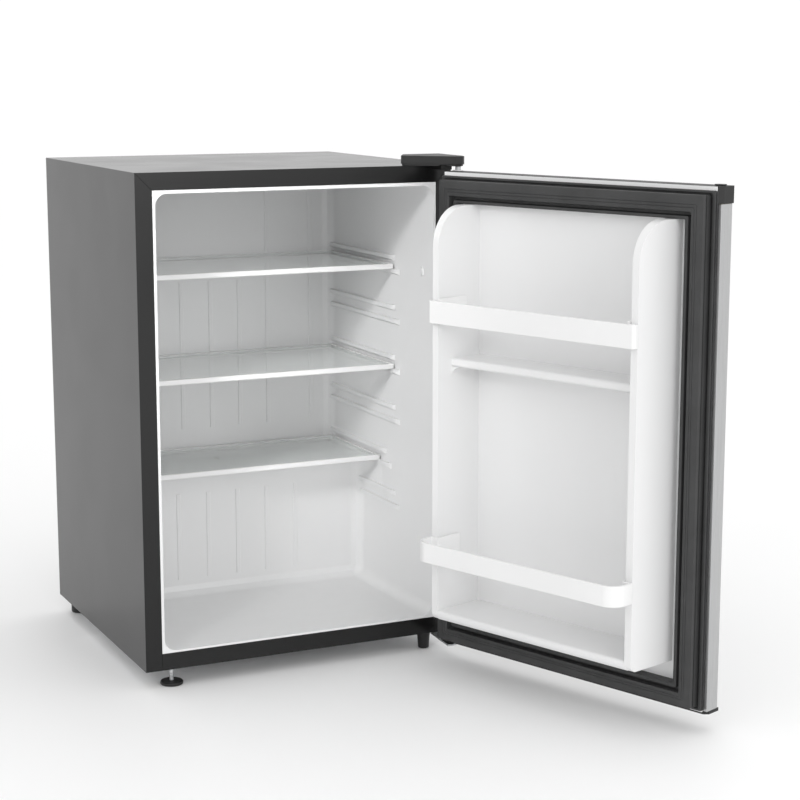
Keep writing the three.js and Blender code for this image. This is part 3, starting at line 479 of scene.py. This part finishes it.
# The section across the gasket: place between the steps above, height over the liner in millimetres.
GASKET_SECTION = [
    (0.0, 0.3), (0.0, 2.8), (0.06, 3.7), (0.3, 4.1), (0.55, 4.0), (0.64, 3.3),
    (0.68, 1.0), (0.93, 1.0), (1.0, 2.4), (0.98, 5.0), (1.0, 9.2),
    (1.05, 9.8), (1.28, 10.2), (1.28, 11.4), (1.05, 11.8), (1.0, 12.4), (1.0, 16.2), (1.02, 16.9),
    (1.07, 17.2), (1.53, 17.2), (1.545, 16.7), (1.565, 16.7), (1.58, 17.2),
    (1.71, 17.2), (1.725, 16.7), (1.745, 16.7), (1.76, 17.2), (1.93, 17.2),
    (1.98, 16.9), (2.0, 16.1), (2.04, 9.6), (2.2, 8.0), (2.8, 8.0), (2.96, 9.6),
    (3.0, 13.6), (3.08, 14.5), (3.25, 14.8), (3.75, 14.6), (3.95, 13.9), (4.0, 12.8), (4.0, 0.3),
]
GASKET_FACE = max(height for _, height in GASKET_SECTION)
GASKET_CORNER = 1.6 * MM  # radius at each of its corners
WRAP_THICKNESS = 1.2 * MM
WRAP_DEPTH = 3.0 * MM  # how far in front of the liner the folded edge starts
WRAP_STOP = 0.6 * MM  # short of the gasket's top and bottom


def between(values, place):
    """The value at a fractional place in a list of values."""
    before = min(int(place), len(values) - 2)
    return values[before] + (values[before + 1] - values[before]) * (place - before)


def rectangle_loop(x0, x1, z0, z1, radius, y, steps=4):
    """Points round an upright rectangle with rounded corners, in the plane of that y."""
    points = []
    centres = [(x1 - radius, z0 + radius, -90), (x1 - radius, z1 - radius, 0),
               (x0 + radius, z1 - radius, 90), (x0 + radius, z0 + radius, 180)]
    for x, z, start in centres:
        for step in range(steps + 1):
            angle = math.radians(start + 90 * step / steps)
            points.append(Vector((x + radius * math.cos(angle), y, z + radius * math.sin(angle))))
    return points


def build_gasket():
    """The magnetic gasket: one moulded section run round the door with close corners."""
    low, high = door_box("door_gasket")
    liner_face = low.y + GASKET_FACE * MM
    loops = []
    for place, height in GASKET_SECTION:
        side, foot, top = (between(GASKET_STEPS[way], place) * MM for way in ("side", "foot", "top"))
        loop = rectangle_loop(
            low.x + side, high.x - side, low.z + foot, high.z - top,
            GASKET_CORNER, liner_face - height * MM)
        loops.append([door_frame @ point for point in loop])
    mesh = loft("door_gasket", loops)
    smooth(mesh, GASKET_SHARP_DEGREES)
    add_piece("door_gasket_finished", mesh, "door", "gasket_vinyl", ["door_gasket"])
    for name, edge, way in (("hinge", low.x, 1), ("free", high.x, -1)):
        build_gasket_wrap(f"gasket_wrap_{name}_side", edge, way, low, high, liner_face)


def build_gasket_wrap(name, edge, way, low, high, liner_face):
    """The skirt's thin outer edge, folded back over the side of the door's liner."""
    front = liner_face - WRAP_DEPTH
    section = [(0.0, front), (0.0, high.y - 0.3 * MM), (0.3, high.y), (1.0, high.y), (1.0, front)]
    loops = [[door_frame @ Vector((edge + way * share * WRAP_THICKNESS, y, z)) for share, y in section]
             for z in (low.z + WRAP_STOP, high.z - WRAP_STOP)]
    mesh = loft(name, loops, closed_way=False)
    add_piece(name, mesh, "door", "gasket_vinyl")


# ---------------------------------------------------------------- build


def build_pieces():
    """Every visible piece: plain nodes keep their CAD mesh, the others get finished ones."""
    for node in PLAIN_NODES:
        part = frame["nodes"][node]
        part.data.materials.clear()
        part.data.materials.append(materials[slot_of_node[node]])
    for node, width in EDGES.items():
        build_refined(node, width * MM)
    build_condenser()
    build_gasket()


# ---------------------------------------------------------------- studio


FLOOR_REACH = 30  # metres from the floor's middle to each of its edges
WORLD_STRENGTH = 1.06
CAMERA_PLACE = (-1.028, -2.295, 0.818)
CAMERA_TILT, CAMERA_TURN = 79.86, -25.47  # degrees
CAMERA_LENS, CAMERA_SENSOR = 85.8, 36  # millimetres


def build_floor():
    """A plain pale floor, wide enough that its edge is never seen."""
    side = FLOOR_REACH
    corners = [(-side, -side, 0), (side, -side, 0), (side, side, 0), (-side, side, 0)]
    mesh = mesh_from("studio_floor", corners, [(0, 1, 2, 3)])
    mesh.materials.append(studio_floor())
    floor = bpy.data.objects.new("studio_floor", mesh)
    bpy.context.scene.collection.objects.link(floor)


def add_softbox(name, place, target, size, power, spread_degrees=180):
    """A rectangular lamp that faces its target."""
    light = bpy.data.lights.new(name, "AREA")
    light.spread = math.radians(spread_degrees)
    light.shape = "RECTANGLE"
    light.size, light.size_y = size
    light.energy = power
    lamp = bpy.data.objects.new(name, light)
    lamp.location = place
    lamp.rotation_euler = (Vector(target) - Vector(place)).to_track_quat("-Z", "Y").to_euler()
    bpy.context.scene.collection.objects.link(lamp)


def build_lights():
    """White surroundings, a broad lamp in front and a narrow one that reaches into the cabinet."""
    world = bpy.data.worlds.new("studio")
    world.use_nodes = True
    background = world.node_tree.nodes["Background"]
    background.inputs["Color"].default_value = (1, 1, 1, 1)
    background.inputs["Strength"].default_value = WORLD_STRENGTH
    bpy.context.scene.world = world
    bpy.context.scene.view_settings.view_transform = "Standard"
    middle = (0, 0, 0.35)
    add_softbox("front_light", (0.2, -3.4, 1.3), middle, (1.6, 1.6), 22)
    add_softbox("side_light", (-1.3, -1.0, 1.3), (0.12, 0.27, 0.36), (0.4, 0.6), 0.45, 18)


def build_camera():
    """The camera stands to the front left, a little above the cabinet, and looks slightly down."""
    data = bpy.data.cameras.new("camera")
    data.sensor_width = CAMERA_SENSOR
    data.lens = CAMERA_LENS
    camera = bpy.data.objects.new("camera", data)
    camera.location = CAMERA_PLACE
    camera.rotation_euler = (math.radians(CAMERA_TILT), 0, math.radians(CAMERA_TURN))
    bpy.context.scene.collection.objects.link(camera)
    bpy.context.scene.camera = camera


build_pieces()
build_floor()
build_lights()
build_camera()
